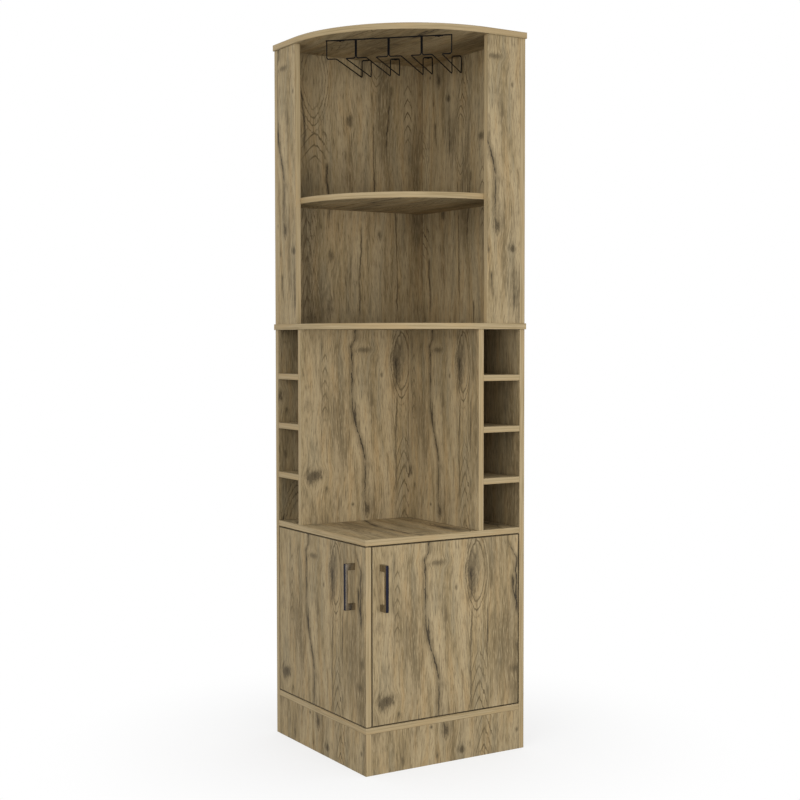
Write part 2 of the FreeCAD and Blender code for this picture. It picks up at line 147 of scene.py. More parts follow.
# Noises of the sheet, in features a metre: straight ones, and ones that the knots push aside
Grain = namedtuple("Grain", "across along detail roughness")
STRAIGHT_GRAINS = {
    "ragged": Grain(130.0, 40.0, 3.0, 0.70),
    "jitter": Grain(10.0, 30.0, 3.0, 0.60),
    "swell": Grain(12.0, 14.0, 3.0, 0.60),
    "sway": Grain(5.0, 3.5, 1.0, 0.60),
    "broken": Grain(20.0, 12.0, 2.0, 0.60),
    "shades": Grain(10.0, 1.9, 2.0, 0.60),
}
PARTED_GRAINS = {
    "patches": Grain(22.0, 2.2, 3.0, 0.60),
    "tints": Grain(40.0, 4.2, 3.0, 0.65),
    "streaks": Grain(90.0, 7.5, 3.0, 0.70),
    "fine": Grain(390.0, 32.0, 2.0, 0.65),
    "pores": Grain(1100.0, 40.0, 2.0, 0.60),
    "rings": Grain(46.0, 1.6, 1.0, 0.60),
}
NOISE_MIDDLE = 0.5
RAGGED_REACH = 1.4
JITTER_REACH = 0.009
SWAY_REACH = 0.022
# A noise's low and high, and then what they give where that isn't zero and one
SWELL_RANGE = (0.36, 0.60, 0.32, 0.90)
BROKEN_RANGE = (0.40, 0.62)
PORE_RANGE = (0.60, 0.72)
SHEET_ROUGHNESS = (0.30, 0.70, 0.58, 0.70)
BAND_ROUGHNESS = (0.30, 0.70, 0.50, 0.60)
UNEVEN_RANGE = (0.30, 0.70)

# Tones laid over the ground one after another: none where a noise is at start, the whole share at full
Layer = namedtuple("Layer", "noise start full share tone")
SHEET_LAYERS = (
    Layer("patches", 0.34, 0.66, 1.00, "light"),
    Layer("tints", 0.50, 0.68, 0.75, "tan"),
    Layer("tints", 0.47, 0.30, 0.75, "grey"),
    Layer("shades", 0.46, 0.70, 0.55, "dark"),
    Layer("streaks", 0.50, 0.78, 0.56, "dark"),
    Layer("streaks", 0.48, 0.26, 0.56, "light"),
    Layer("fine", 0.50, 0.78, 0.70, "dark"),
    Layer("fine", 0.48, 0.26, 0.70, "light"),
)
BAND_LAYERS = (
    Layer("lines", 0.34, 0.60, 1.00, "light"),
    Layer("wander", 0.45, 0.65, 0.45, "tan"),
    Layer("lines", 0.58, 0.74, 0.55, "dark"),
)
BAND_LINES = (5.0, 240.0, 5.0)
BAND_WANDER = (9.0, 70.0, 9.0)

# How strongly the figures are printed over the tones, and how much is left where the print is broken
RING_LINES = (0.0, 0.030, 0.40, 0.0)
HALO_SHARE = 0.62
PATCH_SHARE = 0.92
HEART_SHARE = 0.75
PORE_SHARE = 0.50
BROKEN_FIGURE = 0.65
BROKEN_SPLIT = 0.84

# The relief of the print, as shares of its depth
SPLIT_SINK = 0.6
PORE_SINK = 0.4
FINE_RISE = 0.5
BAND_RISE = 0.4

# Depths below a face in metres. A line is full at the first, ends at the second, and has a share.
FACE_DEPTH = 0.0002
# A dark glue line where the edge band meets a face, darkened further as painted shade of the seam
GLUE_AND_SEAM_SHADE = (0.0003, 0.0010, 0.45, 0.0)
# Painted shade round the doors' faces, where the gaps between doors and carcass fall dark
GAP_SHADE_LINE = (0.0007, 0.0015, 0.85, 0.0)
GAP_SHADE_DEPTH = (0.0010, 0.0022, 1.0, 0.0)
# How deep the painted dark reflection on a handle's front reaches
HANDLE_REFLECTION_DEPTH = 0.0012
OAK_RELIEF_DEPTH = 0.00025
METAL_RELIEF_DEPTH = 0.00005

# The sides of a door's face that get a painted shade line for the dark gap round the door: the left door's
# end is the bare front corner
DOOR_GAP_SHADE_SIDES = {
    "left_door": ("start", "top", "foot"),
    "right_door": ("start", "end", "top", "foot"),
}
# Where a board starts on the sheet, across and along the grain, where it isn't the corner
SHEET_START = {
    "right_rack_divider": (0.045, 0.0),
    "right_stile": (0.165, 0.0),
    "left_stile": (0.152, 0.0),
    "left_plinth_board": (-0.0175, -0.4465),
    "right_plinth_board": (-0.0175, -0.4465),
    "left_upper_panel": (0.0, -0.665),
    "right_upper_panel": (0.10, -0.42),
    "left_side_panel": (0.05, -0.20),
    "right_side_panel": (0.12, -0.35),
    "top_panel": (0.20, -0.05),
    "upper_shelf": (0.05, -0.25),
    "mid_shelf": (0.30, -0.40),
}

# Metals and coatings: roughness runs from smooth to rough, with so many features in a metre
Polish = namedtuple("Polish", "metallic smooth rough relief scale")
HANDLE_POLISH = Polish(1.0, 0.10, 0.20, 0.08, 900.0)
HINGE_PLATING = Polish(1.0, 0.22, 0.36, 0.15, 600.0)
WIRE_COATING = Polish(0.0, 0.45, 0.58, 0.20, 700.0)
CAP_PLASTIC = Polish(0.0, 0.45, 0.60, 0.25, 500.0)
BROAD_GRAIN = (0.07, 0.07, 0.07)
HANDLE_EDGE_TINT = (0.6, 0.6, 0.6, 1.0)
WIRE_SPECULAR = 0.08
OAK_SPECULAR = 0.12
OAK_RELIEF = 0.35

# The stemware rack in its own axes: across the corner, in from it, and up from the top's underside
RACK_ORIGIN = Vector((0.0125, 0.0125, 1.785))
RACK_TURN = -math.pi / 4
WIRE_RADIUS = 0.0015
POST_DEPTH = -0.09354
REAR_DEPTH = 0.16252
BRIDGE_LEVEL = -0.0015
RAIL_LEVEL = -0.0465
RAIL_REACH = 0.0125
Lane = namedtuple("Lane", "left middle right")
LANES = (
    Lane(-0.161, -0.1225, -0.084),
    Lane(-0.084, -0.0445, 0.0),
    Lane(0.0, 0.0445, 0.084),
    Lane(0.084, 0.1225, 0.161),
)
TAB_PLACES = ((-0.126, -0.08904), (0.126, -0.08904), (-0.0445, 0.17002), (0.0445, 0.17002))
TAB_UNDER = -0.0015

# Screws as the left door has them, through it, along it and up: the right door exchanges the first two
ScrewPair = namedtuple("ScrewPair", "inward along rise")
HINGE_LEVELS = (0.1895, 0.4745)
CUP_SCREWS = ScrewPair(-0.2033, 0.1955, 0.0225)
PLATE_SCREWS = ScrewPair(-0.1825, 0.2275, 0.0160)
ARM_SCREW = (-0.1695, 0.2240)
DOOR_INNER = -0.2045
HANDLE_ALONG = {"left": -0.1665, "right": -0.1765}
HANDLE_SCREW_LEVELS = (0.3995, 0.4955)

# Cover caps on the wall sides of the panels, over the screws into the boards' ends
WALL_FACE = 0.2445
BOARD_CAP_LEVELS = (0.1075, 0.5565, 1.3895)
BOARD_CAP_PLACES = (-0.150, 0.150)
CUBBY_CAP_LEVELS = (0.68475, 0.8130, 0.94125)
CUBBY_CAP_PLACES = (-0.160, 0.050)

# Rings of a screw's head and of a cap: rise, in head heights or in metres, and size against the one below
PAN_RINGS = ((0.45, 1.0), (0.35, 0.86), (0.20, 0.70))
CAP_RINGS = ((0.0003, 1.0), (0.0003, 0.95), (0.0002, 0.86), (0.0001, 0.45))
RECESS_ARM = 0.48
RECESS_HALF_WIDTH = 0.11
RECESS_DEPTH = 0.6

# How finely round things are divided, and where edges are welded, eased and kept sharp
WIRE_SEGMENTS = 12
BEND_STEPS = 6
PAN_SEGMENTS = 24
CAP_SEGMENTS = 32
FLOOR_SEGMENTS = 96
WELD_DISTANCE = 0.00001
EASED_SEGMENTS = 2
EASED_ANGLE = math.radians(35)
SHARP_ANGLE = math.radians(40)

# The stage: soft lights, and a floor that fades to white between two distances from its middle
Lamp = namedtuple("Lamp", "place target width")
KEY_LAMP = Lamp((0.1, -2.4, 0.65), (0.0, 0.0, 0.65), 1.0)
FILL_LAMP = Lamp((-4.0, -2.4, 1.4), (0.0, 0.0, 0.95), 2.6)
FLOOR_RADIUS = 6.0
FLOOR_FADE = (0.25, 0.95, 0.70, 1.0)
FLOOR_ROUGHNESS = 0.9
FLOOR_SPECULAR = 0.1
SENSOR_WIDTH = 36.0


class CabinetFinish(bpy.types.PropertyGroup):
    """Colours and small radii that a user would change."""

    oak_light: FloatVectorProperty(
        name="Oak Light", description="Palest streaks of the laminate", subtype="COLOR",
        size=4, min=0, max=1, default=(0.445, 0.346, 0.200, 1))
    oak_mid: FloatVectorProperty(
        name="Oak Mid", description="Ground colour of the laminate", subtype="COLOR",
        size=4, min=0, max=1, default=(0.310, 0.232, 0.120, 1))
    oak_tan: FloatVectorProperty(
        name="Oak Tan", description="Warm patches of the laminate", subtype="COLOR",
        size=4, min=0, max=1, default=(0.425, 0.300, 0.149, 1))
    oak_grey: FloatVectorProperty(
        name="Oak Grey", description="Weathered patches of the laminate", subtype="COLOR",
        size=4, min=0, max=1, default=(0.300, 0.245, 0.149, 1))
    oak_dark: FloatVectorProperty(
        name="Oak Dark", description="Dark streaks, figure and knots", subtype="COLOR",
        size=4, min=0, max=1, default=(0.120, 0.088, 0.046, 1))
    # This colour also paints the shade line round the doors' faces
    oak_crack: FloatVectorProperty(
        name="Oak Crack", description="Cracks and the hearts of knots", subtype="COLOR",
        size=4, min=0, max=1, default=(0.035, 0.028, 0.020, 1))
    edge_radius: FloatProperty(
        name="Board Edge Radius", description="How far a board's edge is eased",
        unit="LENGTH", subtype="DISTANCE", min=0.0001, max=0.003, default=0.0006)
    wire_colour: FloatVectorProperty(
        name="Wire Colour", description="Coating of the stemware rack", subtype="COLOR",
        size=4, min=0, max=1, default=(0.004, 0.004, 0.0045, 1))
    wire_bend: FloatProperty(
        name="Wire Bend", description="Radius of the rack's bends at the middle of the wire",
        unit="LENGTH", subtype="DISTANCE", min=0.002, max=0.012, default=0.005)
    metal_radius: FloatProperty(
        name="Metal Edge Radius", description="How far the edges of handles, tabs and hinges are eased",
        unit="LENGTH", subtype="DISTANCE", min=0.0001, max=0.001, default=0.0003)
    screw_radius: FloatProperty(
        name="Screw Radius", description="Radius of a pan screw's head",
        unit="LENGTH", subtype="DISTANCE", min=0.002, max=0.006, default=0.0035)
    screw_height: FloatProperty(
        name="Screw Height", description="Height of a pan screw's head",
        unit="LENGTH", subtype="DISTANCE", min=0.001, max=0.004, default=0.0020)
    cap_radius: FloatProperty(
        name="Cap Radius", description="Radius of a cover cap on the wall sides",
        unit="LENGTH", subtype="DISTANCE", min=0.004, max=0.010, default=0.0065)
    handle_colour: FloatVectorProperty(
        name="Handle Colour", description="Polished metal of the handles", subtype="COLOR",
        size=4, min=0, max=1, default=(0.400, 0.370, 0.330, 1))
    # The handles' fronts get a painted dark reflection, a near-black colour standing in for a dark surround
    handle_front: FloatVectorProperty(
        name="Handle Front", description="Blackened fronts of the handles", subtype="COLOR",
        size=4, min=0, max=1, default=(0.020, 0.021, 0.032, 1))
    hinge_colour: FloatVectorProperty(
        name="Hinge Colour", description="Bright plating of the hinges", subtype="COLOR",
        size=4, min=0, max=1, default=(0.600, 0.590, 0.570, 1))


class CabinetStudio(bpy.types.PropertyGroup):
    """The stage: floor, lights and camera."""

    floor_colour: FloatVectorProperty(
        name="Floor Colour", description="Pale studio floor", subtype="COLOR",
        size=4, min=0, max=1, default=(0.90, 0.90, 0.90, 1))
    floor_bounce: FloatVectorProperty(
        name="Floor Bounce", description="What the floor throws back onto the cabinet", subtype="COLOR",
        size=4, min=0, max=1, default=(0.28, 0.28, 0.28, 1))
    ambient: FloatProperty(
        name="Ambient", description="Strength of the even light from all round", min=0, max=4, default=0.82)
    key_power: FloatProperty(
        name="Key Power", description="Soft light low on the right", unit="POWER", min=0, default=17)
    fill_power: FloatProperty(
        name="Fill Power", description="Large soft light from the left", unit="POWER", min=0, default=64)
    camera_place: FloatVectorProperty(
        name="Camera Place", description="Where the camera stands", subtype="TRANSLATION",
        unit="LENGTH", size=3, default=(-1.89721, -3.07768, 1.03011))
    camera_yaw: FloatProperty(
        name="Camera Yaw", description="Turn to the right of straight ahead",
        subtype="ANGLE", unit="ROTATION", default=0.55527)
    camera_pitch: FloatProperty(
        name="Camera Pitch", description="Tilt above the horizon",
        subtype="ANGLE", unit="ROTATION", default=-0.0409)
    camera_roll: FloatProperty(
        name="Camera Roll", description="Tilt of the camera's right side upwards",
        subtype="ANGLE", unit="ROTATION", default=-0.00083)
    camera_lens: FloatProperty(
        name="Camera Lens", description="Focal length in millimetres", min=10, max=300, default=63.646)


class NodeNet:
    """Adds nodes to one tree and joins them. An input may be a socket or a plain value."""

    def __init__(self, tree):
        self.tree = tree

    def join(self, value, socket):
        """Link an output to an input, or set the input to a plain value."""
        if isinstance(value, bpy.types.NodeSocket):
            self.tree.links.new(value, socket)
        else:
            socket.default_value = value

    def fill(self, node, inputs):
        """Join a node's inputs, given by name or by number."""
        for name, value in inputs.items():
            self.join(value, node.inputs[name])

    def node(self, kind, inputs=None, **settings):
        """A new node with its settings made and its inputs joined."""
        made = self.tree.nodes.new(kind)
        for name, value in settings.items():
            setattr(made, name, value)
        self.fill(made, inputs or {})
        return made

    def math(self, operation, *values):
        """One operation on up to three values."""
        made = self.node("ShaderNodeMath", operation=operation)
        for value, socket in zip(values, made.inputs):
            self.join(value, socket)
        return made.outputs[0]

    def total(self, operation, values):
        """One operation over a whole row of values, such as their sum or their largest."""
        result = values[0]
        for value in values[1:]:
            result = self.math(operation, result, value)
        return result

    def plus(self, *values):
        """The sum of the values."""
        return self.total("ADD", values)

    def minus(self, first, second):
        """The first value less the second."""
        return self.math("SUBTRACT", first, second)

    def times(self, *values):
        """The product of the values."""
        return self.total("MULTIPLY", values)

    def parts(self, vector):
        """A vector's X, Y and Z."""
        return self.node("ShaderNodeSeparateXYZ", {"Vector": vector}).outputs

    def point(self, *values):
        """A vector from its X, Y and Z."""
        return self.node("ShaderNodeCombineXYZ", dict(zip("XYZ", values))).outputs[0]

    def stretch(self, vector, factors):
        """A vector with each part multiplied by its own factor."""
        made = self.node("ShaderNodeVectorMath", {0: vector, 1: factors}, operation="MULTIPLY")
        return made.outputs[0]

    def noise(self, vector, detail=2.0, roughness=0.5, dimensions="3D"):
        """Soft noise between zero and one."""
        inputs = {"Vector": vector, "Scale": 1.0, "Detail": detail, "Roughness": roughness}
        return self.node("ShaderNodeTexNoise", inputs, noise_dimensions=dimensions).outputs["Fac"]

    def grain(self, vector, grain):
        """Flat noise with the features of one row of the grain tables."""
        laid = self.stretch(vector, (grain.across, grain.along, 0.0))
        return self.noise(laid, grain.detail, grain.roughness, "2D")

    def ramp(self, value, low, high, start=0.0, end=1.0):
        """A smooth step from start at low to end at high."""
        made = self.node("ShaderNodeMapRange", interpolation_type="SMOOTHSTEP")
        for socket, number in zip(made.inputs, (value, low, high, start, end)):
            self.join(number, socket)
        return made.outputs[0]

    def swing(self, value, reach):
        """A noise turned into a shift of up to half the reach to either side."""
        return self.times(self.minus(value, NOISE_MIDDLE), reach)

    def waves(self, value, width):
        """Soft lines wherever a value passes a whole number, of the given half width."""
        return self.ramp(self.math("PINGPONG", value, 0.5), 0.0, width, 1.0, 0.0)

    def blend(self, share, first, second):
        """The first colour, with a share of the second over it."""
        made = self.node("ShaderNodeMix", {0: share, 6: first, 7: second}, data_type="RGBA")
        return made.outputs[2]

    def choose(self, share, first, second):
        """A value between the first and the second."""
        made = self.node("ShaderNodeMix", {0: share, 2: first, 3: second}, data_type="FLOAT")
        return made.outputs[0]

    def group(self, group, inputs):
        """A placed group, with its inputs joined: its output sockets."""
        return self.node("ShaderNodeGroup", inputs, node_tree=group).outputs


def new_group(name, inputs, outputs):
    """An empty shader node group that takes a place and some values: its net, inputs and outputs."""
    group = bpy.data.node_groups.new(name, "ShaderNodeTree")
    sockets = [("INPUT", "Vector", "Vector")]
    sockets += [("INPUT", label, "Float") for label in inputs]
    sockets += [("OUTPUT", label, "Color" if label == "Color" else "Float") for label in outputs]
    for way, label, kind in sockets:
        group.interface.new_socket(label, in_out=way, socket_type=f"NodeSocket{kind}")
    net = NodeNet(group)
    start = net.node("NodeGroupInput")
    end = net.node("NodeGroupOutput")
    return net, start.outputs, end.inputs


def faded(net, along, given, low_fade, high_fade):
    """One between a figure's Low and High, fading to zero at both ends."""
    rise = net.ramp(along, given["Low"], net.plus(given["Low"], low_fade))
    fall = net.ramp(along, net.minus(given["High"], high_fade), given["High"], 1.0, 0.0)
    return net.times(rise, fall)


def crack_group():
    """A split along the grain with one bend, thick and thin, that fades at both ends."""
    shape = ("Across", "Lean", "Bend Top", "Bend Foot", "Low", "High", "Width")
    inputs = shape + ("Jitter", "Swell", "Ragged")
    net, given, result = new_group("Oak Crack", inputs, ("Split", "Halo"))
    across, along, _ = net.parts(given["Vector"])
    bend = net.ramp(along, given["Bend Top"], given["Bend Foot"], 0.0, given["Lean"])
    line = net.plus(given["Across"], bend, given["Jitter"])
    gap = net.math("ABSOLUTE", net.minus(across, line))
    frayed = net.plus(gap, net.times(given["Ragged"], net.times(given["Width"], CRACK_FRAY)))
    half = net.times(given["Width"], given["Swell"])
    seen = faded(net, along, given, *CRACK_FADES)
    split = net.ramp(frayed, net.times(half, CRACK_CORE), half, 1.0, 0.0)
    net.join(net.times(split, seen), result["Split"])
    near, far = (net.times(given["Width"], widths) for widths in HALO_WIDTHS)
    halo = net.ramp(frayed, near, far, 1.0, 0.0)
    stain = net.choose(given["Swell"], *HALO_STAIN)
    net.join(net.times(halo, seen, stain), result["Halo"])
    return net.tree


def knot_group():
    """A smudged knot: a soft dark patch, a darker heart with rings, and the grain that parts round it."""
    inputs = ("Across", "Along", "Half Width", "Half Length", "Depth", "Ragged")
    net, given, result = new_group("Oak Knot", inputs, ("Patch", "Heart", "Parting"))
    across, along, _ = net.parts(given["Vector"])
    offset = net.minus(across, given["Across"])
    side = net.math("DIVIDE", offset, given["Half Width"])
    rise = net.math("DIVIDE", net.minus(along, given["Along"]), given["Half Length"])
    square = net.plus(net.times(side, side), net.times(rise, rise))
    parting = net.math("DIVIDE", offset, net.math("MAXIMUM", square, 1.0))
    net.join(net.times(parting, net.times(given["Depth"], KNOT_PARTING)), result["Parting"])
    reach = net.plus(net.math("SQRT", square), given["Ragged"])
    net.join(net.ramp(reach, *KNOT_PATCH, given["Depth"], 0.0), result["Patch"])
    rings = net.waves(net.times(reach, KNOT_RINGS), KNOT_RING_WIDTH)
    smudge = net.ramp(reach, *KNOT_HEART, given["Depth"], 0.0)
    net.join(net.times(net.choose(rings, *KNOT_RING_SHADES), smudge), result["Heart"])
    return net.tree


def eye_group():
    """Thin tall rings, one in another, where the figure closes round a knot."""
    inputs = ("Across", "Along", "Half Width", "Half Length", "Rings", "Ragged")
    net, given, result = new_group("Oak Eye", inputs, ("Lines",))
    across, along, _ = net.parts(given["Vector"])
    side = net.math("DIVIDE", net.minus(across, given["Across"]), given["Half Width"])
    rise = net.math("DIVIDE", net.minus(along, given["Along"]), given["Half Length"])
    powers = [net.math("POWER", net.math("ABSOLUTE", part), EYE_POWER) for part in (side, rise)]
    reach = net.plus(*powers, net.times(given["Ragged"], EYE_RAGGED))
    lines = net.waves(net.times(reach, given["Rings"]), EYE_LINE_WIDTH)
    inside = net.times(net.ramp(reach, *EYE_START), net.ramp(reach, *EYE_END, 1.0, 0.0))
    net.join(net.times(lines, inside), result["Lines"])
    return net.tree


def peaks_group():
    """Cathedral figure: pointed arches one above another about a line along the grain."""
    inputs = ("Across", "Low", "High", "Half Width", "Spacing", "Steep", "Ragged")
    net, given, result = new_group("Oak Peaks", inputs, ("Lines",))
    across, along, _ = net.parts(given["Vector"])
    side = net.math("DIVIDE", net.minus(across, given["Across"]), given["Half Width"])
    side = net.math("ABSOLUTE", net.plus(side, net.times(given["Ragged"], PEAK_RAGGED)))
    droop = net.times(net.math("POWER", side, PEAK_POWER), given["Steep"])
    ring = net.plus(net.math("DIVIDE", along, given["Spacing"]), droop)
    lines = net.waves(net.plus(ring, net.times(given["Ragged"], PEAK_WAVER)), PEAK_LINE_WIDTH)
    inside = net.ramp(side, *PEAK_SIDES, 1.0, 0.0)
    seen = faded(net, along, given, *PEAK_FADES)
    net.join(net.times(lines, inside, seen), result["Lines"])
    return net.tree


def place_figures(net, group, table, shared):
    """One node of a group for each row of its table: their output sockets."""
    placed = []
    for row in table:
        values = {name.replace("_", " ").title(): value for name, value in row._asdict().items()}
        placed.append(net.group(group, {**values, **shared}))
    return placed


def lay_tones(net, layers, noises, colours):
    """The ground colour with a table's tones laid over it, one after another."""
    tone = colours["mid"]
    for layer in layers:
        share = net.ramp(noises[layer.noise], layer.start, layer.full, 0.0, layer.share)
        tone = net.blend(share, tone, colours[layer.tone])
    return tone


def sheet_group(colours):
    """The printed oak sheet: streaks, patches, figure, knots and cracks, repeated along the grain."""
    net, given, result = new_group("Oak Sheet", (), OAK_OUTPUTS)
    across, _, along = net.parts(given["Vector"])
    flat = net.point(across, along)
    sheet = net.point(across, net.math("WRAP", along, 0.0, -SHEET_LENGTH))
    noises = {name: net.grain(flat, grain) for name, grain in STRAIGHT_GRAINS.items()}

    placed = {"Vector": sheet, "Ragged": net.swing(noises["ragged"], RAGGED_REACH)}
    uneven = {
        "Jitter": net.swing(noises["jitter"], JITTER_REACH),
        "Swell": net.ramp(noises["swell"], *SWELL_RANGE),
    }
    cracks = place_figures(net, crack_group(), CRACKS, {**placed, **uneven})
    knots = place_figures(net, knot_group(), KNOTS, placed)
    eyes = place_figures(net, eye_group(), EYES, placed)
    peaks = place_figures(net, peaks_group(), PEAKS, placed)
    split = net.total("MAXIMUM", [crack["Split"] for crack in cracks])
    halo = net.total("MAXIMUM", [crack["Halo"] for crack in cracks])
    patch = net.total("MAXIMUM", [knot["Patch"] for knot in knots])
    heart = net.total("MAXIMUM", [knot["Heart"] for knot in knots])
    parting = net.total("ADD", [knot["Parting"] for knot in knots])
    figure = net.total("MAXIMUM", [shape["Lines"] for shape in eyes + peaks])

    sway = net.swing(noises["sway"], SWAY_REACH)
    wood = net.point(net.plus(net.minus(across, parting), sway), along)
    noises.update({name: net.grain(wood, grain) for name, grain in PARTED_GRAINS.items()})
    rings = net.math("ABSOLUTE", net.minus(noises["rings"], NOISE_MIDDLE))
    lines = net.ramp(rings, *RING_LINES)
    broken = net.ramp(noises["broken"], *BROKEN_RANGE)
    pore = net.ramp(noises["pores"], *PORE_RANGE)

    tone = lay_tones(net, SHEET_LAYERS, noises, colours)
    prints = (
        (net.times(lines, broken), "dark"),
        (net.times(halo, HALO_SHARE), "dark"),
        (net.times(figure, net.choose(broken, BROKEN_FIGURE, 1.0)), "dark"),
        (net.times(patch, PATCH_SHARE), "dark"),
        (net.times(heart, HEART_SHARE), "crack"),
        (net.times(split, net.choose(broken, BROKEN_SPLIT, 1.0)), "crack"),
        (net.times(pore, PORE_SHARE), "dark"),
    )
    for share, shade in prints:
        tone = net.blend(share, tone, colours[shade])
    net.join(tone, result["Color"])
    net.join(net.ramp(noises["streaks"], *SHEET_ROUGHNESS), result["Roughness"])
    sunk = net.plus(net.times(split, SPLIT_SINK), net.times(pore, PORE_SINK))
    net.join(net.minus(net.times(noises["fine"], FINE_RISE), sunk), result["Height"])
    return net.tree


def laminate_group(colours):
    """Oak sheet on a board's two faces, and a plain edge band with fine lines between them."""
    net, given, result = new_group("Oak Laminate", ("Half Thickness",), OAK_OUTPUTS)
    sheet = net.group(sheet_group(colours), {"Vector": given["Vector"]})
    through = net.parts(given["Vector"])["Y"]
    depth = net.minus(given["Half Thickness"], net.math("ABSOLUTE", through))
    edge = net.math("GREATER_THAN", depth, FACE_DEPTH)
    lines = net.noise(net.stretch(given["Vector"], BAND_LINES), detail=3.0, roughness=0.65)
    wander = net.noise(net.stretch(given["Vector"], BAND_WANDER), detail=2.0)
    band = lay_tones(net, BAND_LAYERS, {"lines": lines, "wander": wander}, colours)
    # Dark glue line and painted seam shade next to the face
    band = net.blend(net.ramp(depth, *GLUE_AND_SEAM_SHADE), band, colours["dark"])
    net.join(net.blend(edge, sheet["Color"], band), result["Color"])
    rough = net.ramp(lines, *BAND_ROUGHNESS)
    net.join(net.choose(edge, sheet["Roughness"], rough), result["Roughness"])
    net.join(net.choose(edge, sheet["Height"], net.times(lines, BAND_RISE)), result["Height"])
    return net.tree


def new_material(name):
    """An empty node material: the material, its net and its Principled shader."""
    material = bpy.data.materials.new(name)
    material.use_nodes = True
    net = NodeNet(material.node_tree)
    shader = material.node_tree.nodes["Principled BSDF"]
    return material, net, shader


def object_place(net):
    """The place on the object, in its own coordinates."""
    return net.node("ShaderNodeTexCoord").outputs["Object"]


def bump(net, shader, height, distance, strength):
    """Relief on a shader from a height."""
    made = net.node("ShaderNodeBump", {"Height": height, "Distance": distance, "Strength": strength})
    net.join(made.outputs[0], shader.inputs["Normal"])


def door_gap_shade(net, laid, size, sides):
    """A painted shade line round a door's face, on the given sides, for the dark gap between the door and
    the carcass.
    """
    width, half_thickness, height = size
    across, through, along = net.parts(laid)
    reach = {
        "start": across,
        "end": net.minus(width, across),
        "top": net.times(along, -1.0),
        "foot": net.plus(height, along),
    }
    nearest = net.total("MINIMUM", [reach[side] for side in sides])
    depth = net.minus(half_thickness, net.math("ABSOLUTE", through))
    return net.times(net.ramp(nearest, *GAP_SHADE_LINE), net.ramp(depth, *GAP_SHADE_DEPTH))


def oak_material(node, group, finish):
    """The laminate laid on one board: the sheet's corner and turn come from the board's box."""
    low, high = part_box(node)
    spans = high - low
    thin = min(range(3), key=lambda axis: spans[axis])
    half_thickness = spans[thin] / 2
    middle = (low + high) / 2
    corner = Vector((low.x, middle.y, high.z))
    turn = (0.0, 0.0, 0.0)
    if thin == 0:
        corner = Vector((middle.x, high.y, high.z))
        turn = (0.0, 0.0, -QUARTER_TURN)
    if thin == 2:
        corner = Vector((low.x, low.y, middle.z))
        turn = (QUARTER_TURN, 0.0, 0.0)
    material, net, shader = new_material(f"oak_{node}")
    across, along = SHEET_START.get(node, (0.0, 0.0))
    mapping = {"Vector": object_place(net), "Location": corner, "Rotation": turn}
    laid = net.node("ShaderNodeMapping", mapping, vector_type="TEXTURE").outputs[0]
    moved = net.node("ShaderNodeVectorMath", {0: laid, 1: (across, 0.0, along)}, operation="ADD")
    oak = net.group(group, {"Vector": moved.outputs[0], "Half Thickness": half_thickness})
    colour = oak["Color"]
    # Painted shade along the door's gaps, in the crack colour
    if node in DOOR_GAP_SHADE_SIDES:
        size = (max(spans.x, spans.y), half_thickness, spans.z)
        colour = net.blend(door_gap_shade(net, laid, size, DOOR_GAP_SHADE_SIDES[node]), colour, finish.oak_crack)
    surface = {"Base Color": colour, "Roughness": oak["Roughness"], "Specular IOR Level": OAK_SPECULAR}
    net.fill(shader, surface)
    bump(net, shader, oak["Height"], OAK_RELIEF_DEPTH, OAK_RELIEF)
    return material


def metal_grain_group():
    """Fine uneven polish and dust for metal: a roughness share and a height."""
    net, given, result = new_group("Metal Grain", ("Scale",), ("Uneven", "Height"))
    scaling = {0: given["Vector"], "Scale": given["Scale"]}
    scaled = net.node("ShaderNodeVectorMath", scaling, operation="SCALE").outputs[0]
    fine = net.noise(scaled, detail=3.0, roughness=0.6)
    broad = net.noise(net.stretch(scaled, BROAD_GRAIN), detail=2.0)
    net.join(net.times(net.plus(fine, broad), 0.5), result["Uneven"])
    net.join(fine, result["Height"])
    return net.tree


def metal_material(name, colour, polish):
    """A metal or coating with an uneven polish: the material, its net and its shader."""
    material, net, shader = new_material(name)
    group = bpy.data.node_groups.get("Metal Grain") or metal_grain_group()
    grain = net.group(group, {"Vector": object_place(net), "Scale": polish.scale})
    rough = net.ramp(grain["Uneven"], *UNEVEN_RANGE, polish.smooth, polish.rough)
    net.fill(shader, {"Base Color": colour, "Metallic": polish.metallic, "Roughness": rough})
    bump(net, shader, grain["Height"], METAL_RELIEF_DEPTH, polish.relief)
    return material, net, shader


def dress(node, material):
    """Give a node of the frame its one material."""
    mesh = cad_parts[node].data
    mesh.materials.clear()
    mesh.materials.append(material)


def ease_edges(node, radius):
    """Soften a node's sharp edges: its loose triangles are welded first."""
    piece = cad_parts[node]
    weld = piece.modifiers.new("Weld", "WELD")
    weld.merge_threshold = WELD_DISTANCE
    bevel = piece.modifiers.new("Eased Edges", "BEVEL")
    bevel.width = radius
    bevel.segments = EASED_SEGMENTS
    bevel.limit_method = "ANGLE"
    bevel.angle_limit = EASED_ANGLE


def new_mesh(name, shape, material):
    """A finished bmesh as an object of the scene, with its one material."""
    mesh = bpy.data.meshes.new(name)
    shape.to_mesh(mesh)
    shape.free()
    mesh.materials.append(material)
    made = bpy.data.objects.new(name, mesh)
    bpy.context.scene.collection.objects.link(made)
    return made


def new_piece(name, shape, material, body):
    """A finished bmesh as a piece that rides on a body, shaded smooth between its sharp edges."""
    piece = new_mesh(name, shape, material)
    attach(piece, body)
    piece.data.shade_smooth()
    piece.data.set_sharp_from_angle(angle=SHARP_ANGLE)
    return piece


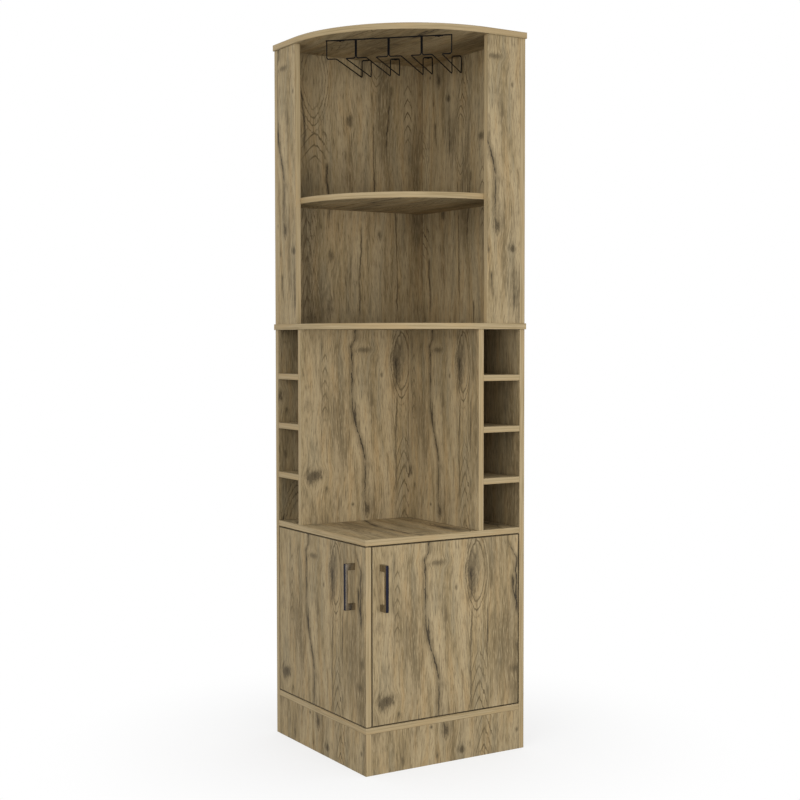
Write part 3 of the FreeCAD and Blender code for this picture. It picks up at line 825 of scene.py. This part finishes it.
class CABINET_OT_laminate_boards(bpy.types.Operator):
    """Lay the oak laminate on every board and door and ease their edges"""

    bl_idname = "cabinet.laminate_boards"
    bl_label = "Laminate Boards"

    def execute(self, context):
        finish = context.scene.cabinet_finish
        tones = ("light", "mid", "tan", "grey", "dark", "crack")
        group = laminate_group({tone: getattr(finish, f"oak_{tone}") for tone in tones})
        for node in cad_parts:
            if any(word in node for word in METAL_NODES):
                continue
            dress(node, oak_material(node, group, finish))
            ease_edges(node, finish.edge_radius)
        return {"FINISHED"}


def handle_material(node, finish):
    """Polished metal with a painted dark reflection on its front: the front is the face that stands
    furthest from the door.
    """
    material, net, shader = metal_material(f"{node}_metal", finish.handle_colour, HANDLE_POLISH)
    low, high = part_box(node)
    outward = "X" if high.y - low.y < high.x - low.x else "Y"
    front = min(low.x, low.y)
    depth = net.minus(net.parts(object_place(net))[outward], front)
    # Painted dark reflection on the front face
    face = net.math("LESS_THAN", depth, HANDLE_REFLECTION_DEPTH)
    colour = net.blend(face, finish.handle_colour, finish.handle_front)
    net.fill(shader, {"Base Color": colour, "Specular Tint": HANDLE_EDGE_TINT})
    return material


class CABINET_OT_plate_handles(bpy.types.Operator):
    """Polish both bar handles and paint a dark reflection on their fronts"""

    bl_idname = "cabinet.plate_handles"
    bl_label = "Plate Handles"

    def execute(self, context):
        finish = context.scene.cabinet_finish
        for side in SIDES:
            node = f"{side}_handle"
            dress(node, handle_material(node, finish))
            ease_edges(node, finish.metal_radius)
        return {"FINISHED"}


def edges_of(items):
    """The edges among what an operator gave back."""
    return [item for item in items if isinstance(item, bmesh.types.BMEdge)]


def verts_of(edges):
    """The corners of some edges, each once and always in the same order."""
    return list(dict.fromkeys(vert for edge in edges for vert in edge.verts))


def new_ring(shape, segments, radius, matrix=Matrix.Identity(4)):
    """A circle's edges, each once and always in the same order."""
    ring = bmesh.ops.create_circle(shape, segments=segments, radius=radius, matrix=matrix)
    return list(dict.fromkeys(edge for vert in ring["verts"] for edge in vert.link_edges))


def drawn_out(shape, ring, step):
    """A ring of edges drawn out by a step: the new ring."""
    ring = edges_of(bmesh.ops.extrude_edge_only(shape, edges=ring)["geom"])
    bmesh.ops.translate(shape, verts=verts_of(ring), vec=step)
    return ring


def facing(place, ahead):
    """The matrix that stands a shape at a place, with its top ahead."""
    return Matrix.Translation(place) @ ahead.to_track_quat("Z", "Y").to_matrix().to_4x4()


def bent_wire(points, radius, bend):
    """A round wire along straight runs, bent round at each corner."""
    shape = bmesh.new()
    corners = [Vector(point) for point in points]
    aheads = [(after - before).normalized() for before, after in zip(corners, corners[1:])]
    first = new_ring(shape, WIRE_SEGMENTS, radius, facing(corners[0], aheads[0]))
    ring = first
    place = corners[0]
    for corner, ahead, turned in zip(corners[1:], aheads, aheads[1:]):
        stop = corner - ahead * bend
        ring = drawn_out(shape, ring, stop - place)
        arc = bmesh.ops.spin(shape, geom=ring, cent=stop + turned * bend, axis=ahead.cross(turned),
                             angle=QUARTER_TURN, steps=BEND_STEPS, use_merge=False, use_duplicate=False)
        ring = edges_of(arc["geom_last"])
        place = corner + turned * bend
    last = drawn_out(shape, ring, corners[-1] - place)
    bmesh.ops.edgeloop_fill(shape, edges=first)
    bmesh.ops.edgeloop_fill(shape, edges=last)
    bmesh.ops.recalc_face_normals(shape, faces=shape.faces)
    return shape


def stacked_rings(shape, segments, radius, rings):
    """A filled circle with rings built up on it, each a rise and a size against the one below: the top."""
    ring = new_ring(shape, segments, radius)
    bmesh.ops.edgeloop_fill(shape, edges=ring)
    for rise, shrink in rings:
        ring = drawn_out(shape, ring, (0.0, 0.0, rise))
        bmesh.ops.scale(shape, verts=verts_of(ring), vec=(shrink, shrink, 1.0))
    return ring


def screw_head(radius, height):
    """A pan head with a cross recess, standing on its base."""
    shape = bmesh.new()
    rings = [(rise * height, shrink) for rise, shrink in PAN_RINGS]
    ring = stacked_rings(shape, PAN_SEGMENTS, radius, rings)
    arm = radius * RECESS_ARM
    half = radius * RECESS_HALF_WIDTH
    corner = [(arm, -half), (arm, half), (half, half)]
    cross = []
    for quarter in range(4):
        turn = Matrix.Rotation(quarter * QUARTER_TURN, 3, "Z")
        cross += [shape.verts.new(turn @ Vector((x, y, height))) for x, y in corner]
    slot = [shape.edges.new((one, other)) for one, other in zip(cross, cross[1:] + cross[:1])]
    bmesh.ops.bridge_loops(shape, edges=ring + slot)
    floor = drawn_out(shape, slot, (0.0, 0.0, -RECESS_DEPTH * height))
    bmesh.ops.edgeloop_fill(shape, edges=floor)
    bmesh.ops.recalc_face_normals(shape, faces=shape.faces)
    return shape


def cover_cap(radius):
    """A thin domed cap with a rounded rim, standing on its base."""
    shape = bmesh.new()
    ring = stacked_rings(shape, CAP_SEGMENTS, radius, CAP_RINGS)
    bmesh.ops.edgeloop_fill(shape, edges=ring)
    bmesh.ops.recalc_face_normals(shape, faces=shape.faces)
    return shape


def repeated(shape, spots):
    """A shape set at several spots, each a place and the way that it faces."""
    pattern = bpy.data.meshes.new("pattern")
    shape.to_mesh(pattern)
    shape.free()
    row = bmesh.new()
    for place, ahead in spots:
        before = len(row.verts)
        row.from_mesh(pattern)
        row.verts.ensure_lookup_table()
        bmesh.ops.transform(row, matrix=facing(place, ahead), verts=row.verts[before:])
    bpy.data.meshes.remove(pattern)
    return row


def lane_route(lane):
    """One lane's wire: down from the bar, in to a rail, back, up and over, and the same way out."""
    left = (lane.left + WIRE_RADIUS, lane.middle - RAIL_REACH)
    right = (lane.right - WIRE_RADIUS, lane.middle + RAIL_REACH)
    halves = []
    for post, rail in (left, right):
        front = [(post, POST_DEPTH, 0.0), (post, POST_DEPTH, RAIL_LEVEL), (rail, POST_DEPTH, RAIL_LEVEL)]
        rear = [(rail, REAR_DEPTH, RAIL_LEVEL), (rail, REAR_DEPTH, BRIDGE_LEVEL)]
        halves.append(front + rear)
    return halves[0] + halves[1][::-1]


class CABINET_OT_bend_rack_wires(bpy.types.Operator):
    """Bend the stemware rack's lanes from round wire and coat the whole rack black"""

    bl_idname = "cabinet.bend_rack_wires"
    bl_label = "Bend Rack Wires"

    def execute(self, context):
        finish = context.scene.cabinet_finish
        coating, _, shader = metal_material("black_coating", finish.wire_colour, WIRE_COATING)
        shader.inputs["Specular IOR Level"].default_value = WIRE_SPECULAR
        hang = Matrix.Translation(RACK_ORIGIN) @ Matrix.Rotation(RACK_TURN, 4, "Z")
        for number, lane in enumerate(LANES, start=1):
            shape = bent_wire(lane_route(lane), WIRE_RADIUS, finish.wire_bend)
            shape.transform(hang)
            wire = new_piece(f"rack_wire_{number}", shape, coating, "carcass")
            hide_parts(f"rack_lane_{number}")
        for node in ("rack_front_bar", "rack_tabs"):
            dress(node, coating)
            ease_edges(node, finish.metal_radius)
        downward = Vector((0.0, 0.0, -1.0))
        spots = [(hang @ Vector((*spot, TAB_UNDER)), downward) for spot in TAB_PLACES]
        heads = repeated(screw_head(finish.screw_radius, finish.screw_height), spots)
        screws = new_piece("rack_pan_screws", heads, coating, "carcass")
        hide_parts("rack_screws")
        return {"FINISHED"}


def beside_door(side, inward, along, up):
    """A point or a direction given as the left door has it, for either door."""
    return Vector((inward, along, up)) if side == "left" else Vector((along, inward, up))


def hinge_screws(side, pair):
    """The places of a pair of screws at each of a door's hinges."""
    rises = (-pair.rise, pair.rise)
    levels = [level + rise for level in HINGE_LEVELS for rise in rises]
    return [beside_door(side, pair.inward, pair.along, level) for level in levels]


def door_screw_spots(side):
    """Where the screws of a door's hinge cups and handle sit, and the way that they face."""
    places = hinge_screws(side, CUP_SCREWS)
    places += [beside_door(side, DOOR_INNER, HANDLE_ALONG[side], level) for level in HANDLE_SCREW_LEVELS]
    return [(place, beside_door(side, 1.0, 0.0, 0.0)) for place in places]


def plate_screw_spots(side):
    """Where the screws of a panel's hinge plates and arms sit, and the way that they face."""
    places = hinge_screws(side, PLATE_SCREWS)
    places += [beside_door(side, *ARM_SCREW, level) for level in HINGE_LEVELS]
    return [(place, beside_door(side, 0.0, -1.0, 0.0)) for place in places]


class CABINET_OT_plate_hinges(bpy.types.Operator):
    """Plate the concealed hinges in bright nickel and drive their screws and the handles' screws"""

    bl_idname = "cabinet.plate_hinges"
    bl_label = "Plate Hinges"

    def execute(self, context):
        finish = context.scene.cabinet_finish
        plating, _, _ = metal_material("nickel_plating", finish.hinge_colour, HINGE_PLATING)
        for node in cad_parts:
            if "hinge" in node:
                dress(node, plating)
                ease_edges(node, finish.metal_radius)
        for side in SIDES:
            rows = (
                (f"{side}_door_screws", f"{side}_door_leaf", door_screw_spots(side)),
                (f"{side}_hinge_plate_screws", "carcass", plate_screw_spots(side)),
            )
            for name, body, spots in rows:
                heads = repeated(screw_head(finish.screw_radius, finish.screw_height), spots)
                new_piece(name, heads, plating, body)
        return {"FINISHED"}


class CABINET_OT_cap_panel_screws(bpy.types.Operator):
    """Press oak-coloured caps over the panel screws on the two wall sides"""

    bl_idname = "cabinet.cap_panel_screws"
    bl_label = "Cap Panel Screws"

    def execute(self, context):
        finish = context.scene.cabinet_finish
        plastic, _, _ = metal_material("oak_cap", finish.oak_mid, CAP_PLASTIC)
        places = [(along, level) for level in BOARD_CAP_LEVELS for along in BOARD_CAP_PLACES]
        places += [(along, level) for level in CUBBY_CAP_LEVELS for along in CUBBY_CAP_PLACES]
        spots = []
        for along, level in places:
            for side in SIDES:
                outward = beside_door(side, 0.0, 1.0, 0.0)
                spots.append((beside_door(side, along, WALL_FACE, level), outward))
        caps = repeated(cover_cap(finish.cap_radius), spots)
        new_piece("panel_screw_caps", caps, plastic, "carcass")
        return {"FINISHED"}


def seen_directly(net):
    """One for rays from the camera, mirrored ones and ones let through, and zero for the rest."""
    path = net.node("ShaderNodeLightPath").outputs
    rays = ("Is Camera Ray", "Is Glossy Ray", "Is Transmission Ray")
    return net.total("MAXIMUM", [path[ray] for ray in rays])


def lay_floor(studio):
    """A round pale floor that fades into the white background and throws little light back."""
    material, net, shader = new_material("pale_floor")
    thrown_back = net.node("ShaderNodeLightPath").outputs["Is Diffuse Ray"]
    colour = net.blend(thrown_back, studio.floor_colour, studio.floor_bounce)
    surface = {"Base Color": colour, "Roughness": FLOOR_ROUGHNESS, "Specular IOR Level": FLOOR_SPECULAR}
    net.fill(shader, surface)
    reach = net.node("ShaderNodeVectorMath", {0: object_place(net)}, operation="LENGTH")
    fade = net.ramp(reach.outputs["Value"], *FLOOR_FADE)
    away = net.times(fade, seen_directly(net))
    glow = net.node("ShaderNodeEmission", {"Color": WHITE, "Strength": 1.0})
    mixed = net.node("ShaderNodeMixShader", {0: away, 1: shader.outputs[0], 2: glow.outputs[0]})
    net.join(mixed.outputs[0], material.node_tree.nodes["Material Output"].inputs["Surface"])
    shape = bmesh.new()
    bmesh.ops.create_circle(shape, cap_ends=True, segments=FLOOR_SEGMENTS, radius=FLOOR_RADIUS)
    floor = new_mesh("floor", shape, material)


def light_world(scene, studio):
    """White all round where it is seen, and an even light of the given strength."""
    world = bpy.data.worlds.new("studio_white")
    world.use_nodes = True
    net = NodeNet(world.node_tree)
    backdrop = world.node_tree.nodes["Background"]
    backdrop.inputs["Color"].default_value = WHITE
    strength = net.choose(seen_directly(net), studio.ambient, 1.0)
    net.join(strength, backdrop.inputs["Strength"])
    scene.world = world


def hang_light(name, lamp, power):
    """A square soft light at its place, turned to its target."""
    area = bpy.data.lights.new(name, "AREA")
    area.size = lamp.width
    area.energy = power
    light = bpy.data.objects.new(name, area)
    light.location = lamp.place
    aim = Vector(lamp.target) - Vector(lamp.place)
    light.rotation_euler = aim.to_track_quat("-Z", "Y").to_euler()
    bpy.context.scene.collection.objects.link(light)


def stand_camera(scene, studio):
    """The camera at the photograph's place and angle."""
    lens = bpy.data.cameras.new("camera")
    lens.lens = studio.camera_lens
    lens.sensor_width = SENSOR_WIDTH
    camera = bpy.data.objects.new("camera", lens)
    camera.location = studio.camera_place
    aim = Euler((QUARTER_TURN + studio.camera_pitch, 0.0, -studio.camera_yaw)).to_matrix()
    camera.rotation_euler = (aim @ Matrix.Rotation(studio.camera_roll, 3, "Z")).to_euler()
    scene.collection.objects.link(camera)
    scene.camera = camera


class CABINET_OT_set_studio(bpy.types.Operator):
    """Lay the pale floor, hang the lights and stand the camera"""

    bl_idname = "cabinet.set_studio"
    bl_label = "Set Studio"

    def execute(self, context):
        studio = context.scene.cabinet_studio
        lay_floor(studio)
        light_world(context.scene, studio)
        hang_light("key_light", KEY_LAMP, studio.key_power)
        hang_light("fill_light", FILL_LAMP, studio.fill_power)
        stand_camera(context.scene, studio)
        context.scene.view_settings.view_transform = "Standard"
        return {"FINISHED"}


class CABINET_PT_sidebar(bpy.types.Panel):
    """Lists the cabinet's operators and settings"""

    bl_idname = "CABINET_PT_sidebar"
    bl_label = "Drinks Cabinet"
    bl_space_type = "VIEW_3D"
    bl_region_type = "UI"
    bl_category = "Cabinet"

    def draw(self, context):
        for operator in OPERATORS:
            self.layout.operator(operator.bl_idname)
        for group in (context.scene.cabinet_finish, context.scene.cabinet_studio):
            column = self.layout.column()
            for name in group.__annotations__:
                column.prop(group, name)


OPERATORS = (
    CABINET_OT_laminate_boards,
    CABINET_OT_plate_handles,
    CABINET_OT_bend_rack_wires,
    CABINET_OT_plate_hinges,
    CABINET_OT_cap_panel_screws,
    CABINET_OT_set_studio,
)
CLASSES = (CabinetFinish, CabinetStudio, *OPERATORS, CABINET_PT_sidebar)


def register():
    """Add the classes to Blender and the two groups of settings to the scene."""
    for item in CLASSES:
        bpy.utils.register_class(item)
    bpy.types.Scene.cabinet_finish = PointerProperty(type=CabinetFinish)
    bpy.types.Scene.cabinet_studio = PointerProperty(type=CabinetStudio)


def unregister():
    """Take the settings and the classes out again."""
    del bpy.types.Scene.cabinet_studio
    del bpy.types.Scene.cabinet_finish
    for item in reversed(CLASSES):
        bpy.utils.unregister_class(item)


def main():
    """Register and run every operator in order."""
    register()
    for operator in OPERATORS:
        family, name = operator.bl_idname.split(".")
        getattr(getattr(bpy.ops, family), name)()


if __name__ == "__main__":
    main()
